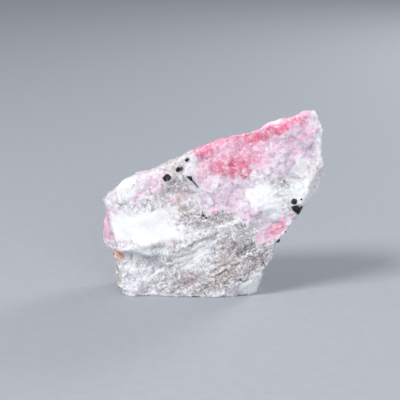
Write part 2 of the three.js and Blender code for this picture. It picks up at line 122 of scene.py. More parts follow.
# Colour zones. A patch is: x, z of its middle seen from the front, half its length, half its height,
# turn in degrees, strength, and from which y to which y it runs through the rock, in millimetres.
FRONT = (-30, -3)
THROUGH = (-30, 30)
BACK = (1, 30)
ZONES = {
    "pink": [
        (3.8, 29.9, 8, 4, 16, 1, *THROUGH),
        (2.4, 33.6, 7.2, 1.8, 16, 1, *THROUGH),
        (-1.2, 30.4, 3, 2.6, 20, 1, *THROUGH),
        (10.6, 31.4, 4.4, 3.2, 30, 0.5, *THROUGH),
        (13.2, 36.3, 7.8, 1.6, 23, 0.95, *THROUGH),
        (17.9, 37.2, 2.8, 1.7, 25, 0.8, *THROUGH),
        (18.3, 30.2, 1.2, 3, 5, 0.5, *FRONT),
        (20.4, 35, 2, 1.6, 40, 0.5, *FRONT),
        (20.4, 37.4, 1.8, 1.2, 30, 0.55, *FRONT),
        (20.6, 26.8, 1, 1.6, 0, 0.4, *FRONT),
        (16.2, 34, 3.4, 2, 30, 0.45, *FRONT),
        (13.4, 15, 3.4, 1.8, 38, 0.75, -30, 3),
        (11.2, 13, 2.2, 1.3, 10, 0.7, *FRONT),
        (-22, 15.4, 1.7, 4.8, -4, 0.7, -30, 6),
        (-13.3, 24.4, 5.4, 2.4, 22, 0.32, *FRONT),
        (0.5, 18.9, 1.2, 0.8, 20, 0.75, *FRONT),
        (3.7, 20.8, 1.4, 0.9, 40, 0.55, *FRONT),
        (6.6, 17.2, 1.4, 1, 20, 0.45, *FRONT),
        (-7, 21.3, 2, 2.4, 10, 0.3, *FRONT),
        (-9, 20, 9, 3, 30, 0.9, *BACK),
        (-17, 13, 3, 2, 60, 0.5, *BACK),
        (5, 7, 6, 2.4, -20, 0.6, *BACK),
        (13, 29, 3, 2, 30, 0.6, *BACK),
    ],
    "coral": [
        (4.3, 28.2, 4.6, 2.2, 12, 0.8, *THROUGH),
        (3.6, 28, 1.9, 1.3, 30, 1, *THROUGH),
        (7, 27.2, 1.6, 2, 0, 0.7, *THROUGH),
        (-2.3, 31.4, 2.4, 1.5, 25, 0.9, *THROUGH),
        (3.6, 34, 5.4, 0.9, 14, 0.6, *THROUGH),
        (13.2, 35.6, 7, 1, 22, 1.1, *THROUGH),
        (14.3, 15.2, 2.2, 1.1, 40, 0.6, -30, 2),
        (-22.3, 15.2, 1, 3, -4, 0.35, -30, 6),
        (-8, 21, 4, 1.2, 30, 0.7, *BACK),
    ],
    "white": [
        (-14.8, 15.4, 6.8, 3.2, -8, 1.7, *FRONT),
        (-8.6, 13.7, 2.6, 0.9, -10, 0.9, *FRONT),
        (-10.1, 18, 3.8, 1.8, 10, 0.85, *FRONT),
        (11, 22.4, 3.6, 2.2, 0, 1.2, *FRONT),
        (12.6, 18.6, 2.6, 1.6, 20, 0.6, *FRONT),
        (19.6, 23.2, 4, 3, 35, 0.95, -30, 6),
        (19.2, 28.4, 1.2, 2.6, 5, 0.9, *FRONT),
        # painted light: lifts the shade under the white facet's lower edge
        (-16.5, 10.2, 3.6, 1.3, 0, 0.8, *FRONT),
        (22, 39.4, 1.4, 0.9, 0, 0.6, *THROUGH),
        (22.8, 32.4, 1, 3.2, 0, 0.6, *THROUGH),
        # painted highlight along the top edge
        (11.2, 37.2, 2, 0.45, 25, 0.8, *FRONT),
        (-18.2, 23.8, 2.8, 1.7, 40, 0.8, *THROUGH),
        (-22.7, 20.5, 1.4, 1, 0, 0.9, *THROUGH),
        (-4.6, 28.2, 1.6, 2, 0, 0.75, *FRONT),
        (8.4, 2, 2.4, 1.9, 10, 1, *FRONT),
        (12.4, 7.6, 0.7, 4, -25, 0.5, *FRONT),
        (-18, 7.2, 1.6, 1.5, 0, 0.6, *FRONT),
        (-15.6, 4, 2.4, 1.2, 30, 0.45, *FRONT),
        (-3.8, 9.3, 5.6, 1.9, 26, 0.8, *FRONT),
        (-3.9, 8.6, 1.3, 0.9, 20, 0.8, *FRONT),
        (-6, 6.9, 1.4, 0.9, 20, 0.8, *FRONT),
        (0, 26, 5, 3, 10, 0.9, *BACK),
        (11, 13, 4, 2.4, 40, 0.9, *BACK),
        (-12, 9.6, 4, 1.6, 10, 0.9, *BACK),
        (18, 25, 2, 3, 0, 0.7, *BACK),
        (-8, 16, 7, 0.6, 24, 0.9, *BACK),
        (3, 18.4, 6, 0.5, 12, 0.8, *BACK),
    ],
    "grey": [
        (-7.4, 25, 4.4, 2.8, 30, 0.62, *FRONT),
        (-5.8, 21.6, 3.4, 2.8, 0, 0.7, *FRONT),
        (-4.2, 17, 4.8, 2.2, -15, 0.9, *FRONT),
        (-9.2, 11.4, 5.4, 1.2, 14, 0.3, *FRONT),
        (-15, 10.6, 4, 1.1, 4, 0.2, *FRONT),
        (1.6, 17.4, 4, 1.5, 10, 0.95, *FRONT),
        (6, 15.6, 2.6, 1.1, -30, 0.9, *FRONT),
        (5.6, 7.4, 6, 5.4, 30, 1, -30, 4),
        (-2, 2.4, 9, 2, 4, 0.9, *FRONT),
        (-3, 12.6, 7, 0.9, 24, 0.75, *FRONT),
        (2.6, 10.8, 2.8, 1.3, 22, 0.7, *FRONT),
        (-8, 5.6, 4, 2, 30, 0.6, *FRONT),
        (-13.6, 6.2, 5, 3, 10, 0.4, *FRONT),
        (-9.6, 2.6, 3, 2, 0, 0.8, *FRONT),
        (11.6, 8, 2.2, 5.4, -20, 0.8, *THROUGH),
        (13.4, 24.6, 2.4, 1.4, 0, 0.55, *FRONT),
        (15, 31, 2, 2.6, 0, 0.35, *FRONT),
        (16.4, 35.6, 3.4, 1.2, 25, 0.45, *FRONT),
        (-4.7, 30.6, 0.9, 1.2, 0, 0.9, *FRONT),
        # painted shadow under the upper-left black crystal
        (-10.4, 24.2, 1.6, 1, 50, 0.6, *FRONT),
        (-4, 24.6, 1.6, 1.2, -40, 0.6, *FRONT),
        (8, 26, 5, 2, 20, 0.6, *BACK),
        (-3, 12, 8, 3, 15, 0.8, *BACK),
        (-13, 5, 5, 2.4, -10, 0.7, *BACK),
        (14, 20, 3, 4, 30, 0.6, *BACK),
    ],
    "dark": [
        (7.4, 10.4, 3.6, 1.9, -24, 1, *FRONT),
        (5.2, 6.2, 4.8, 2.8, 30, 0.5, *FRONT),
        (1.8, 17.5, 2, 1, 0, 0.8, *FRONT),
        (-1.8, 17.7, 1, 0.7, -40, 1, *FRONT),
        (6.4, 16.2, 1.1, 1.1, 0, 0.7, *FRONT),
        (-8, 11.3, 0.8, 0.8, 0, 0.5, *FRONT),
        (-7.6, 23.8, 2.6, 1.4, 40, 0.35, *FRONT),
        (-0.8, 4.4, 3.4, 1.8, 30, 0.35, *FRONT),
        (11.6, 8.4, 1.4, 3.8, -20, 0.8, *THROUGH),
        (-4, 12, 6, 1.8, 15, 0.45, *BACK),
        (8, 26, 2.6, 1.2, 20, 0.6, *BACK),
        (-13, 5, 3, 1.2, -10, 0.5, *BACK),
    ],
    "stain": [
        (-7.2, 21, 0.5, 2.8, 2, 1, *FRONT),
        (-20.4, 4.4, 0.9, 3.2, 0, 0.8, *THROUGH),
        (-8.8, 28, 2.8, 1.4, 25, 0.6, *THROUGH),
        (-8, 11.3, 1.3, 1.2, 0, 0.55, *FRONT),
        (-5, 19, 2.4, 1.4, 0, 0.5, *FRONT),
        (4, 15.6, 2.4, 0.8, 15, 0.6, *FRONT),
        (1.6, 5, 3, 1.4, 30, 0.5, *FRONT),
        (-15, 14, 2, 4, 20, 0.6, *BACK),
    ],
    "rose": [
        (4.2, 8.4, 3.2, 2.4, 50, 0.9, *FRONT),
        (-5, 4, 3.2, 1.7, 10, 0.8, *FRONT),
        (3.4, 12.2, 2.8, 1.3, 25, 0.7, *FRONT),
        (1.2, 4.8, 3.4, 1.5, 28, 0.7, *FRONT),
        (-8.8, 18.6, 2, 1.4, 0, 0.4, *FRONT),
    ],
    "orange": [
        (-20.6, 8.8, 1, 0.8, -30, 1.5, -30, -2),
        (-20.6, 6.9, 0.5, 1, 0, 0.8, -30, -1),
        (-21.5, 9.8, 1, 0.6, 0, 0.5, -30, -2),
    ],
    "smooth": [
        (-14.8, 15.4, 6.8, 3.2, -8, 1, *FRONT),
    ],
    "lined": [
        (0.5, 8.2, 13.5, 6.6, 24, 1, *FRONT),
        (-10, 10.6, 7, 1.8, 18, 0.6, *FRONT),
    ],
    "cool": [
        (-14, 6, 8.5, 4.8, 8, 1, *FRONT),
        (-1, 8, 13, 5.6, 24, 0.8, *FRONT),
        (8.8, 3, 3, 3, 0, 1, *FRONT),
        (16, 22, 6, 2.6, 30, 0.8, *FRONT),
        (2, 10, 14, 5, 10, 0.7, *BACK),
    ],
    "lilac": [
        (4.7, 21.6, 7, 3.8, 5, 0.85, *FRONT),
        (-3, 24, 3, 2, 20, 0.5, *FRONT),
        (14.6, 31.4, 5.6, 5.4, 0, 0.9, *THROUGH),
        (20.4, 34, 3, 5, 0, 1.2, *THROUGH),
        (9.6, 18, 4.6, 2, 20, 0.7, *FRONT),
        (8, 22, 8, 5, 0, 0.7, *BACK),
    ],
}

# Narrow strokes of a zone: x, z of both ends, half the width, strength, depth range
STROKES = {
    "crest": [
        (-10.4, 9.8, -4.8, 12.3, 0.5, 0.9, *FRONT),
        (-4.8, 12.3, 5.6, 17, 0.45, 1.7, *FRONT),
        (-14.6, 3.2, -9.2, 7.3, 0.4, 0.55, *FRONT),
    ],
    "white": [
        (5.6, 17, 7.6, 16.2, 0.35, 0.7, *FRONT),
        (-4.8, 10.1, 1.6, 12.6, 0.42, 0.9, *FRONT),
        (-0.2, 5.1, 8.7, 9.9, 0.3, 1.4, *FRONT),
        (0.9, 4.4, 7.5, 7.6, 0.25, 1.1, *FRONT),
        (1.4, 8, 5.6, 10.4, 0.26, 0.9, *FRONT),
        (-14.4, 3.4, -9.4, 7.1, 0.45, 0.8, *FRONT),
        (-12.6, 2.2, -6.4, 5.4, 0.3, 0.6, *FRONT),
        (-6.2, 13.4, 1.4, 16, 0.25, 0.7, *FRONT),
        (12.3, 33.6, 12.7, 31.6, 0.22, 0.8, *FRONT),
        (11.2, 32.8, 11.6, 30.6, 0.2, 0.7, *FRONT),
    ],
    "coral": [
        (2.2, 29.3, 5.2, 28, 0.25, 1, *FRONT),
        (3.7, 30.4, 4.4, 27.6, 0.28, 1, *FRONT),
        (6.6, 29.6, 6.6, 26.8, 0.22, 0.9, *FRONT),
        (-3.4, 31.2, -0.8, 32.3, 0.35, 0.9, *FRONT),
        (-1.2, 28.6, 3, 27, 0.22, 0.7, *FRONT),
        (6.4, 34.5, 9.6, 35.1, 0.45, 1.3, *THROUGH),
        (9.6, 35.1, 14.3, 37, 0.5, 1.5, *THROUGH),
        (14.3, 36.6, 18.6, 38.2, 0.45, 1.3, *THROUGH),
    ],
    "stain": [
        (1.2, 4, 7, 6.8, 0.25, 0.8, *FRONT),
        (-0.8, 5.6, 4.6, 8.6, 0.25, 0.7, *FRONT),
    ],
    "dark": [
        (1.6, 4.6, 5.4, 6.6, 0.2, 0.5, *FRONT),
        (-4.6, 23.9, -3.2, 22.3, 0.3, 0.7, *FRONT),
    ],
}
WARPS = [(2.6, 0.9), (0.9, 0.3)]  # size and reach of the noise that makes the patches ragged
BACK_WARP = (8, 3)  # the same for the parts that don't show from the front, which are more irregular
PATCH_EDGE = 0.45  # softness of a patch's rim, as a share of its size
DEPTH_EDGE = 2.5  # over which a patch fades in and out through the rock

# How a zone's colour covers the rock: raggedness of its rim, the strengths at which it begins and is
# full, and the share that it covers there
COVER = {
    "lilac": (1.3, 0, 1.1, 0.9),
    "cool": (0.5, 0.1, 0.9, 0.85),
    "grey": (0.9, 0.1, 1, 0.85),
    "pink": (1.3, 0, 1, 1),
    "coral": (1.1, 0, 1.25, 0.85),
    "white": (0.6, 0.05, 1, 0.95),
    "rose": (0.9, 0.1, 1, 0.6),
    "stain": (0.9, 0.3, 0.7, 0.5),
    "orange": (2.2, 0.3, 1, 0.8),
    "dark": (0.8, 0.2, 0.8, 0.5),
    "crest": (0.6, 0.1, 0.7, 0.95),
}
RIM = 0.2  # below this strength a zone fades out, whatever the noise says

# Colours of the rock and its zones, of the crystals, and of the floor
PALE = (0.88, 0.86, 0.90)
PALE_PINK = (0.87, 0.76, 0.83)
LILAC = (0.72, 0.57, 0.71)
WHITE = (0.94, 0.955, 0.975)
GREY = (0.36, 0.32, 0.33)
GREY_LIGHT = (0.75, 0.73, 0.745)
PINK = (0.84, 0.29, 0.48)
PINK_LIGHT = (0.93, 0.60, 0.76)
CORAL = (0.80, 0.12, 0.24)
COOL = (0.80, 0.825, 0.86)
# pale crystals in the pink rock, and painted glints on its fine grains
FLECK_AND_GLINT = (0.97, 0.88, 0.94)
DARK = (0.09, 0.08, 0.085)
STAIN = (0.50, 0.43, 0.33)
ROSE = (0.58, 0.44, 0.43)
ORANGE = (0.62, 0.24, 0.14)
HOLLOW_SHADE = (0.81, 0.77, 0.785)  # painted shade: what the colour is multiplied by in hollows
UNCHANGED = (1, 1, 1)
SPECKLE_DARK = (0.77, 0.76, 0.765)  # and from grain to grain, between these two
SPECKLE_LIGHT = (1.06, 1.06, 1.06)
JET = (0.002, 0.0015, 0.002)
JET_BROWN = (0.03, 0.012, 0.016)
# painted glints on the black crystals
JET_GLINT = (0.2, 0.15, 0.18)
FLOOR_DARK = (0.40, 0.425, 0.465)
FLOOR_LIGHT = (0.415, 0.44, 0.48)

# The shader's noises: size in millimetres, detail, roughness
WIDE = (2.4, 4, 0.6)
SOFT = (1.4, 2, 0.5)
MIDDLE = (1.1, 4, 0.65)
BLOTS = (0.9, 3, 0.6)
BLOTCHES = (0.6, 4, 0.65)
SMALL = (0.5, 4, 0.7)
PITS = (0.3, 4, 0.75)
LINES = (1, 3, 0.6)
LINE_STRETCH = (0.14, 0.6, 2.4)  # scale of the growth lines' noise along each turned axis
PATCHY = (0.36, 0.62)  # the values of a noise between which one shade passes into another

# The shader's grains: size, and size and reach of the noise that makes their outlines uneven
GRAIN_CELLS = (0.62, 0.5, 0.2)
FINE_CELLS = (0.28, 0.25, 0.1)
CRYSTAL_CELLS = (0.42, 0.4, 0.15)
NO_PUSH = (0.5, 0.5, 0.5)  # the colour that, as a direction, pushes or tilts neither way
GRAIN_TILT, FINE_TILT, CRYSTAL_TILT = 0.26, 0.28, 0.6

# The black crystals, in millimetres
CRYSTAL_CHIPS = 5  # broken off each
CHIP_LEAST, CHIP_SPREAD = 0.74, 0.16  # how far out the chips are cut, as shares of the way to the corner
CHIP_FACING, CHIP_REACH = 3, 5  # keys that tell a chip's two draws apart
FLAT = 0.02  # facets that turn less than this are joined, in radians
WEAR, WEAR_STEPS = 0.05, 2  # width of the worn edges, and the strips that round them
WORN_ANGLE = math.radians(20)  # edges sharper than this are worn

# The small black grains that are set in the stone as well as the crystals: x, z, width
GRAINS_BY_HAND = [
    (-5.5, 26, 0.45),
    (-2.1, 18, 0.75),
    (-1.4, 17.5, 0.65),
    (15.1, 25.2, 0.5),
    (18.9, 21.1, 0.45),
    (6.6, 17, 0.3),
    (-3.4, 20.6, 0.28),
    (-5.8, 23.6, 0.25),
    (10.8, 7.4, 0.35),
    (-11, 24.6, 0.22),
]
TO_THE_FRONT = -0.2  # the y of the normal, below which a face shows from the front
GRAINS_STREWN = 70
STREWN_SEED = 5
STREWN_ABOVE = 1  # millimetres over the table
STREWN_ANYWHERE = 0.15  # the weight of any rock in the draw of their places, to which grey adds up to 1
GRAIN_WIDTHS = (0.16, 0.42)
MOSTLY_SMALL = 3  # the power that makes wide grains rare
GRAIN_LEAST, GRAIN_SPREAD = 0.7, 0.5  # how far a grain's corners are out, as shares of half its width

# The studio, in metres and watts
SOFTBOXES = {  # place, width, power
    "key": ((-0.3, -0.26, 0.46), 0.24, 2.6),
    "fill": ((0.16, -0.5, 0.18), 0.3, 0.8),
    "back": ((0.36, 0.4, 0.24), 0.22, 1.5),
}
SKY = (0.93, 0.96, 1)
SKY_STRENGTH = 0.37
FLOOR_RADIUS = 4
FLOOR_SIDES = 96


def smoothstep(low, high, value):
    share = np.clip((value - low) / (high - low), 0, 1)
    return share * share * (3 - 2 * share)


def hashed(cells, seed):
    """Three numbers from 0 to 1 for each whole-numbered cell, the same on every run."""
    c = cells.astype(np.int64).astype(np.uint64)
    n = np.uint64(seed * SEED_FACTOR % 2**32)
    for axis, factor in enumerate(CELL_FACTORS):
        n = n ^ c[..., axis] * np.uint64(factor)
    numbers = []
    for _ in range(3):
        for shift, factor in MIXERS:
            n = (n ^ n >> np.uint64(shift)) * np.uint64(factor) & np.uint64(2**32 - 1)
        numbers.append((n & np.uint64(2**24 - 1)).astype(float) / 2**24)
    return np.stack(numbers, -1)


def perlin(points, seed):
    """Smooth noise from about -1 to 1 with features one unit across."""
    cell = np.floor(points)
    part = points - cell
    fade = part**3 * (part * (part * 6 - 15) + 10)
    total = np.zeros(len(points))
    for corner in itertools.product((0, 1), repeat=3):
        slope = hashed(cell + corner, seed) * 2 - 1
        weight = np.prod(np.where(corner, fade, 1 - fade), -1)
        total += weight * ((part - corner) * slope).sum(-1)
    return total * PERLIN_GAIN


def clouds(points, octaves, seed):
    """Smooth noise with finer and lower noise on it."""
    return sum(perlin(points * 2**i, seed + i) / 2**i for i in range(octaves))


def broken(points, seed):
    """Flat facets at random slopes, one for each cell of about one unit, as a crystalline break has."""
    cell = np.floor(points)
    nearest = np.full(len(points), np.inf)
    height = np.zeros(len(points))
    for step in itertools.product((-1, 0, 1), repeat=3):
        chance = hashed(cell + step, seed)
        away = points - (cell + step + chance)
        distance = (away**2).sum(-1)
        slope = hashed(cell + step, seed + 1) * 2 - 1
        closer = distance < nearest
        nearest = np.where(closer, distance, nearest)
        rise = FACET_RISE * (chance[:, 0] - 0.5)
        height = np.where(closer, (away * slope).sum(-1) + rise, height)
    return height


def ledges(points, seed):
    """A height that rises in steps of one, with steep risers between level parts."""
    level = LEDGES_EACH * clouds(points, 2, seed)
    return np.floor(level) + smoothstep(*RISER, level - np.floor(level))


def array_of(mesh, what="co"):
    """The points or normals of a mesh, in millimetres or as unit vectors."""
    values = np.zeros(len(mesh.vertices) * 3)
    mesh.vertices.foreach_get(what, values)
    return values.reshape(-1, 3) / (MM if what == "co" else 1)


def set_points(mesh, points):
    mesh.vertices.foreach_set("co", (points * MM).ravel())
    mesh.update()


def new_object(name, mesh):
    piece = bpy.data.objects.new(name, mesh)
    bpy.context.scene.collection.objects.link(piece)
    return piece


def applied(piece):
    """The mesh that a piece has with its modifiers, on the piece itself."""
    graph = bpy.context.evaluated_depsgraph_get()
    mesh = bpy.data.meshes.new_from_object(piece.evaluated_get(graph))
    piece.modifiers.clear()
    piece.data = mesh
    return mesh


def crystal_nodes():
    return sorted(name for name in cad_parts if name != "stone")


def welded(node):
    """A CAD node's mesh as a bmesh whose facets share their corners."""
    solid = bmesh.new()
    solid.from_mesh(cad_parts[node].data)
    bmesh.ops.remove_doubles(solid, verts=solid.verts, dist=WELD * MM)
    return solid


def plug(crystal, corners):
    """A solid that fills the pocket of one crystal, from the stone's corners that lie round it."""
    surface = BVHTree.FromBMesh(crystal)
    hull = bmesh.new()
    for co in corners:
        if surface.find_nearest(co, POCKET_REACH * MM)[0]:
            hull.verts.new(co)
    bmesh.ops.convex_hull(hull, input=hull.verts)
    bmesh.ops.delete(hull, geom=[v for v in hull.verts if not v.link_faces], context="VERTS")
    middle = sum((v.co for v in hull.verts), Vector()) / len(hull.verts)
    bmesh.ops.scale(hull, verts=hull.verts, vec=(PLUG_SIZE,) * 3, space=Matrix.Translation(-middle))
    mesh = bpy.data.meshes.new("plug")
    hull.to_mesh(mesh)
    return mesh


def keep_sharp(stone):
    crease = stone.edges.layers.float.new("crease_edge")
    for edge in stone.edges:
        if len(edge.link_faces) == 2 and edge.calc_face_angle(0) > SHARP:
            edge[crease] = 1


def fine_stone():
    """The stone's CAD solid as an even, fine mesh, with its coarse facets rounded between sharp edges."""
    solid = welded("stone")
    keep_sharp(solid)
    mesh = bpy.data.meshes.new("tugtupite_stone")
    solid.to_mesh(mesh)
    piece = new_object("tugtupite_stone", mesh)
    piece.modifiers.new("rounding", "SUBSURF").levels = ROUNDING
    rounded = applied(piece)
    corners = [v.co.copy() for v in solid.verts]
    filled = bmesh.new()
    filled.from_mesh(rounded)
    for node in crystal_nodes():
        filled.from_mesh(plug(welded(node), corners))
    filled.to_mesh(rounded)
    even = piece.modifiers.new("even", "REMESH")
    even.mode = "VOXEL"
    even.voxel_size = VOXEL * MM
    applied(piece)
    return piece


def smoothed(mesh, points, rounds, share):
    """The points, each moved some rounds long by a share of the way to the middle of its neighbours."""
    edges = np.zeros(len(mesh.edges) * 2, int)
    mesh.edges.foreach_get("vertices", edges)
    a, b = edges.reshape(-1, 2).T
    count = np.bincount(edges, minlength=len(points))[:, None]
    for _ in range(rounds):
        sums = np.stack(
            [
                np.bincount(a, points[b, axis], len(points)) + np.bincount(b, points[a, axis], len(points))
                for axis in range(3)
            ],
            -1,
        )
        points = points + share * (sums / count - points)
    return points


def patch(points, x, z, length, height, turn, strength, near, far):
    """How much of one patch of a colour zone is at each point."""
    c, s = math.cos(math.radians(turn)), math.sin(math.radians(turn))
    across, up = points[:, 0] - x, points[:, 2] - z
    along = (across * c + up * s) / length
    over = (up * c - across * s) / height
    inside = 1 - smoothstep(1 - PATCH_EDGE, 1 + PATCH_EDGE, np.hypot(along, over))
    y = points[:, 1]
    depth = smoothstep(near - DEPTH_EDGE, near, y) * (1 - smoothstep(far, far + DEPTH_EDGE, y))
    return strength * inside * depth


def ragged(points, warps):
    """The points moved about by noise, so that the patches drawn on them get ragged rims."""
    moved = points.copy()
    for size, reach in warps:
        for axis in range(3):
            moved[:, axis] += reach * clouds(points / size, 2, SEEDS["rims"] + axis)
    return moved


def as_patch(x1, z1, x2, z2, half_width, strength, near, far):
    """A stroke between two ends as a long, thin patch."""
    half_length = math.hypot(x2 - x1, z2 - z1) / 2
    turn = math.degrees(math.atan2(z2 - z1, x2 - x1))
    return (x1 + x2) / 2, (z1 + z2) / 2, half_length, half_width, turn, strength, near, far


def behind(points):
    """0 on the front, which the photo shows, and 1 at the back, which is rougher and more irregular."""
    return smoothstep(*BEHIND, points[:, 1])


def zones_at(points):
    """The strength of every colour zone at each point, by the zone's name."""
    more_behind = behind(points)[:, None] * (ragged(points, [BACK_WARP]) - points)
    where = ragged(points, WARPS) + more_behind
    near = ragged(points, WARPS[1:])
    zones = {}
    for name in sorted({*ZONES, *STROKES}):
        layers = [patch(where, *shape) for shape in ZONES.get(name, [])]
        layers += [patch(near, *as_patch(*stroke)) for stroke in STROKES.get(name, [])]
        zones[name] = np.max(layers, axis=0)
    return zones


def growth_lines(points):
    """Fine ridges along the growth direction of the lower front."""
    c, s = math.cos(GROWTH_RISE), math.sin(GROWTH_RISE)
    bend_size, bend = LINE_BEND
    along = points[:, 0] * c + points[:, 2] * s
    across = points[:, 2] * c - points[:, 0] * s + bend * clouds(points / bend_size, 2, SEEDS["bends"])
    flat = np.stack([along / LINE_LENGTH, across / LINE_SPACING, points[:, 1] / LINE_DEPTH], -1)
    return clouds(flat, 3, SEEDS["lines"])


def roughness(zones):
    """How rough the rock is: 1 in most of it, and less where its crystals are larger."""
    smoothing = sum(share * zones[name] for name, share in SMOOTHER.items())
    return (1 - np.clip(smoothing, 0, SMOOTHEST)) * (1 - SMOOTH_FACET * zones["smooth"])


def sugary_grain(points, zones):
    """How strong the fine grain is."""
    size, uneven = SUGARY_PATCHES
    patches = uneven * clouds(points / size, 2, SEEDS["sugary"])
    return np.clip(SUGARY + SUGARY_GREY * zones["grey"] + patches, 0, SUGARIEST)


def ridge_across(points, crest):
    """The low ridge that crosses the front, broken up by noise."""
    size, breaks = CREST_BREAKS
    broken_up = CREST_BODY + breaks * perlin(points / size, SEEDS["crest"])
    return CREST_HEIGHT * np.clip(crest * broken_up, 0, CREST_MOST)


def left(share, rough):
    """What is left of a height: all on rough rock, and this share on smooth rock."""
    return share + (1 - share) * rough


def relief(points, zones):
    """How far the surface stands out at each point, in millimetres."""
    rough = roughness(zones)
    back = behind(points)
    lumps = LUMP_HEIGHT * clouds(points / LUMP_SIZE, 2, SEEDS["lumps"])
    lumps *= left(LUMPS_LEFT, rough) + LUMPS_BEHIND * back
    steps = STEP_HEIGHT * ledges(points / STEP_SIZE, SEEDS["steps"]) * left(STEPS_LEFT, rough)
    chunks = CHUNK_HEIGHT * broken(points / CHUNK_SIZE, SEEDS["chunks"]) * left(CHUNKS_LEFT, rough)
    grains = GRAIN_HEIGHT * broken(points / GRAIN_SIZE, SEEDS["grains"]) * rough
    grains *= sugary_grain(points, zones)
    lines = LINE_HEIGHT * growth_lines(points) * zones["lined"]
    slabs = SLAB_HEIGHT * broken(points / SLAB_SIZE, SEEDS["slabs"])
    slabs = slabs * (SLABS_IN_FRONT + SLABS_BEHIND * back) * left(SLABS_LEFT, rough)
    return lumps + steps + slabs + chunks + grains + lines + ridge_across(points, zones["crest"])


def beside_crystals(points):
    """0 at the crystals, and 1 where the stone is clear of them."""
    joined = bmesh.new()
    for node in crystal_nodes():
        joined.from_mesh(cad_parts[node].data)
    crystals = BVHTree.FromBMesh(joined)
    found = [crystals.find_nearest(Vector(point) * MM, CLEARED * MM)[3] for point in points]
    return smoothstep(CRYSTAL_RIM, CLEARED, np.array([CLEARED if d is None else d / MM for d in found]))


def ridges(mesh, points):
    """How far each point stands out from its surroundings, from about -1 in a hollow to 1 on a ridge."""
    around = smoothed(mesh, points, *SURROUNDINGS)
    return np.clip(((points - around) * array_of(mesh, "normal")).sum(-1) / RIDGE_HEIGHT, -1, 1)


def stone_piece():
    piece = fine_stone()
    mesh = piece.data
    points = smoothed(mesh, array_of(mesh), *EVENING)
    set_points(mesh, points)
    layers = zones_at(points)
    height = relief(points, layers)
    clear = beside_crystals(points)
    height = height * clear - CRYSTAL_HOLLOW * (1 - clear)
    points = points + array_of(mesh, "normal") * height[:, None]
    points[:, 2] = np.maximum(points[:, 2], 0)
    set_points(mesh, points)
    layers["ridge"] = ridges(mesh, points)
    for name, strength in layers.items():
        mesh.attributes.new(name, "FLOAT", "POINT").data.foreach_set("value", strength.astype(np.float32))
    mesh.shade_smooth()
    mesh.materials.clear()
    mesh.materials.append(stone_material())
    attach(piece, "root")
    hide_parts("stone")
    return piece


# Materials


